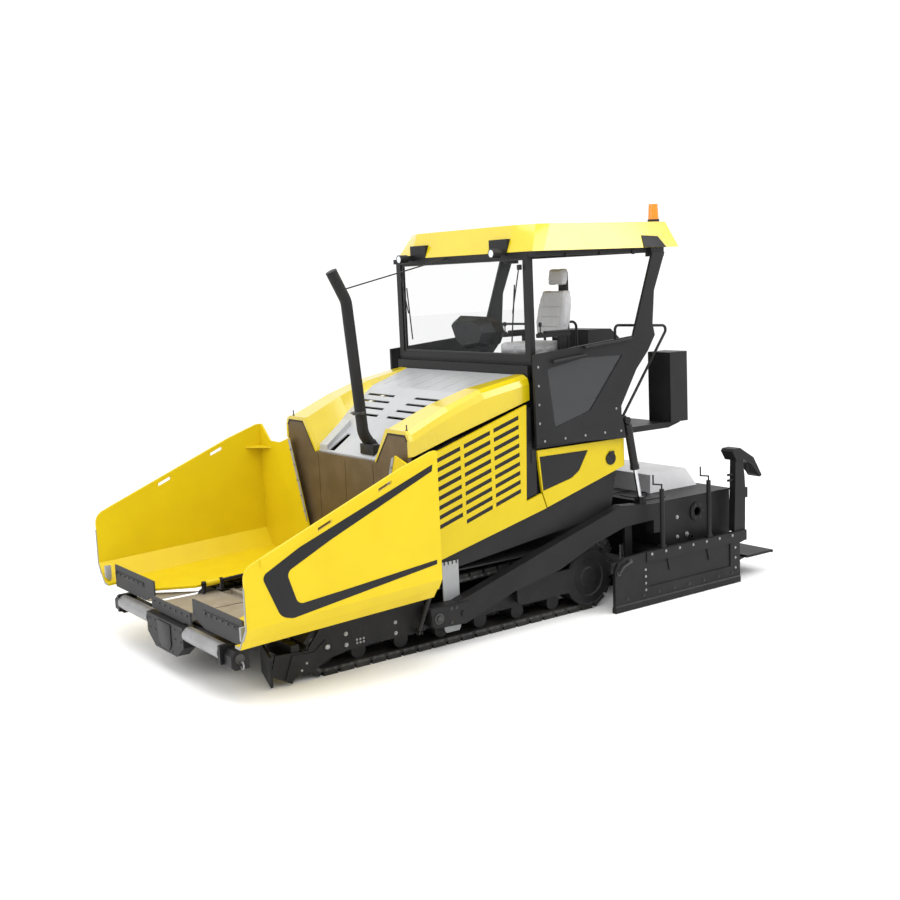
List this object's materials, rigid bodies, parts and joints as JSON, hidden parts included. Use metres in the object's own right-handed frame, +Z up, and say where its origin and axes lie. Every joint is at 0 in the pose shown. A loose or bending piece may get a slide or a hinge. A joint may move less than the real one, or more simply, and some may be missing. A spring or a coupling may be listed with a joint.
{
  "type": "tracked asphalt paver",
  "caption": "Tracked asphalt paver with a folding hopper in front, an open platform under a roof, and a screed on long tow arms behind.",
  "frame": {"origin": "on the ground, midway between the front and the rear end and on the centre plane", "axes": "+X towards the hopper, +Y to the left, +Z up"},
  "size_m": [6.598, 3.3, 4.05],
  "materials": {
    "yellow": "gloss paint",
    "dark": "satin paint",
    "cover": "satin paint",
    "roof_skin": "moulded sheet",
    "brown": "worn paint",
    "silver": "heat-resistant paint",
    "worn_steel": "worn",
    "conveyor": "worn steel plate",
    "track": "dusty",
    "rubber": "matt",
    "seat_fabric": "woven cover",
    "glazing": "clear",
    "amber": "clear amber",
    "barrel": "satin paint",
    "rod": "polished"
  },
  "bodies": {
    "chassis": {"auger_support": "dark", "bay_walls": "dark", "beacon": "amber", "bulkhead": "brown", "cab_glass": "glazing", "console": "dark", "conveyors": "conveyor", "drive_covers": "dark", "engine_block": "dark", "exhaust_stack": "dark", "front_apron": "yellow", "handrails": "dark", "hood_deck": "silver", "hood_pods": "yellow", "hopper_floor_plates": "conveyor", "main_frame": "dark", "platform": "dark", "platform_sides": "dark", "rear_box": "dark", "rear_side_panels": "yellow", "roof": "roof_skin", "roof_frame": "dark", "scale_plates": "dark", "seat_back": "seat_fabric", "seat_base": "dark", "seat_cushion": "seat_fabric", "track_frames": "dark", "track_guards": "dark", "tracks": "track", "wing_hinges": "dark", "work_lights": "dark"},
    "wing_left": {"wing_left": "yellow", "wing_flap_left": "rubber"},
    "wing_right": {"wing_right": "yellow", "wing_flap_right": "rubber"},
    "push_beam": {"push_beam": "dark"},
    "push_roller_left": {"push_roller_left": "worn_steel"},
    "push_roller_right": {"push_roller_right": "worn_steel"},
    "screed": {"tow_arms": "dark", "screed_frame": "dark", "screed_cover": "cover"},
    "screed_extension_left": {"screed_extension_left": "dark", "screed_console_left": "dark"},
    "screed_extension_right": {"screed_extension_right": "dark", "screed_console_right": "dark"},
    "auger_left": {"auger_left": "worn_steel"},
    "auger_right": {"auger_right": "worn_steel"},
    "side_door_left": {"side_door_left": "yellow"},
    "side_door_right": {"side_door_right": "yellow"},
    "lift_barrel_left": {"lift_barrel_left": "barrel"},
    "lift_barrel_right": {"lift_barrel_right": "barrel"},
    "lift_rod_left": {"lift_rod_left": "rod"},
    "lift_rod_right": {"lift_rod_right": "rod"},
    "wing_barrel_left": {"wing_barrel_left": "barrel"},
    "wing_barrel_right": {"wing_barrel_right": "barrel"},
    "wing_rod_left": {"wing_rod_left": "rod"},
    "wing_rod_right": {"wing_rod_right": "rod"}
  },
  "joints": [
    {"name": "wing_fold_left", "type": "hinge", "parent": "chassis", "child": "wing_left", "pos_m": [1.352, 0.56, 0.6402], "axis": [0.9991, 0, -0.0423], "range_deg": [0, 36]},
    {"name": "wing_cylinder_turn_left", "type": "hinge", "parent": "chassis", "child": "wing_barrel_left", "pos_m": [1.352, 1.185, 0.215], "axis": [1, 0, 0], "range_deg": [0, 25.9]},
    {"name": "wing_cylinder_slide_left", "type": "slide", "parent": "wing_barrel_left", "child": "wing_rod_left", "axis": [0, 0.4782, 0.8782], "range_m": [0, 0.4545]},
    {"name": "wing_fold_right", "type": "hinge", "parent": "chassis", "child": "wing_right", "pos_m": [1.352, -0.56, 0.6402], "axis": [-0.9991, 0, 0.0423], "range_deg": [0, 36]},
    {"name": "wing_cylinder_turn_right", "type": "hinge", "parent": "chassis", "child": "wing_barrel_right", "pos_m": [1.352, -1.185, 0.215], "axis": [-1, 0, 0], "range_deg": [0, 25.9]},
    {"name": "wing_cylinder_slide_right", "type": "slide", "parent": "wing_barrel_right", "child": "wing_rod_right", "axis": [0, -0.4782, 0.8782], "range_m": [0, 0.4545]},
    {"name": "push_beam_swing", "type": "hinge", "parent": "chassis", "child": "push_beam", "pos_m": [3.082, 0, 0.39], "axis": [0, 0, 1], "range_deg": [-4, 4]},
    {"name": "push_roller_spin_left", "type": "hinge", "parent": "push_beam", "child": "push_roller_left", "pos_m": [3.23, 0.75, 0.42], "axis": [0, 1, 0], "continuous": true},
    {"name": "push_roller_spin_right", "type": "hinge", "parent": "push_beam", "child": "push_roller_right", "pos_m": [3.23, -0.75, 0.42], "axis": [0, 1, 0], "continuous": true},
    {"name": "screed_lift", "type": "hinge", "parent": "chassis", "child": "screed", "pos_m": [1.19, 0, 0.33], "axis": [0, 1, 0], "range_deg": [0, 6]},
    {"name": "extension_slide_left", "type": "slide", "parent": "screed", "child": "screed_extension_left", "axis": [0, 1, 0], "range_m": [0, 1.1]},
    {"name": "lift_cylinder_turn_left", "type": "hinge", "parent": "chassis", "child": "lift_barrel_left", "pos_m": [-1.27, 1.22, 1.89], "axis": [0, -1, 0], "range_deg": [0, 3.33]},
    {"name": "lift_cylinder_slide_left", "type": "slide", "parent": "lift_barrel_left", "child": "lift_rod_left", "axis": [-0.1893, 0, -0.9819], "range_m": [-0.2819, 0]},
    {"name": "auger_spin_left", "type": "hinge", "parent": "chassis", "child": "auger_left", "pos_m": [-1.345, 0.6, 0.4], "axis": [0, 1, 0], "continuous": true},
    {"name": "door_swing_left", "type": "hinge", "parent": "chassis", "child": "side_door_left", "pos_m": [1.204, 1.19, 1.3], "axis": [0, 0, -1], "range_deg": [0, 90]},
    {"name": "extension_slide_right", "type": "slide", "parent": "screed", "child": "screed_extension_right", "axis": [0, -1, 0], "range_m": [0, 1.1]},
    {"name": "lift_cylinder_turn_right", "type": "hinge", "parent": "chassis", "child": "lift_barrel_right", "pos_m": [-1.27, -1.22, 1.89], "axis": [0, -1, 0], "range_deg": [0, 3.33]},
    {"name": "lift_cylinder_slide_right", "type": "slide", "parent": "lift_barrel_right", "child": "lift_rod_right", "axis": [-0.1893, 0, -0.9819], "range_m": [-0.2819, 0]},
    {"name": "auger_spin_right", "type": "hinge", "parent": "chassis", "child": "auger_right", "pos_m": [-1.345, -0.6, 0.4], "axis": [0, 1, 0], "continuous": true},
    {"name": "door_swing_right", "type": "hinge", "parent": "chassis", "child": "side_door_right", "pos_m": [1.204, -1.19, 1.3], "axis": [0, 0, 1], "range_deg": [0, 90]}
  ],
  "couplings": [
    {"joint": "wing_cylinder_turn_left", "follows": "wing_fold_left", "ratio": 0.7178},
    {"joint": "wing_cylinder_slide_left", "follows": "wing_fold_left", "m_per_rad": 0.7219},
    {"joint": "wing_cylinder_turn_right", "follows": "wing_fold_right", "ratio": 0.7178},
    {"joint": "wing_cylinder_slide_right", "follows": "wing_fold_right", "m_per_rad": 0.7219},
    {"joint": "lift_cylinder_turn_left", "follows": "screed_lift", "ratio": 0.55386},
    {"joint": "lift_cylinder_slide_left", "follows": "screed_lift", "m_per_rad": -2.6916},
    {"joint": "lift_cylinder_turn_right", "follows": "screed_lift", "ratio": 0.55386},
    {"joint": "lift_cylinder_slide_right", "follows": "screed_lift", "m_per_rad": -2.6916}
  ]
}
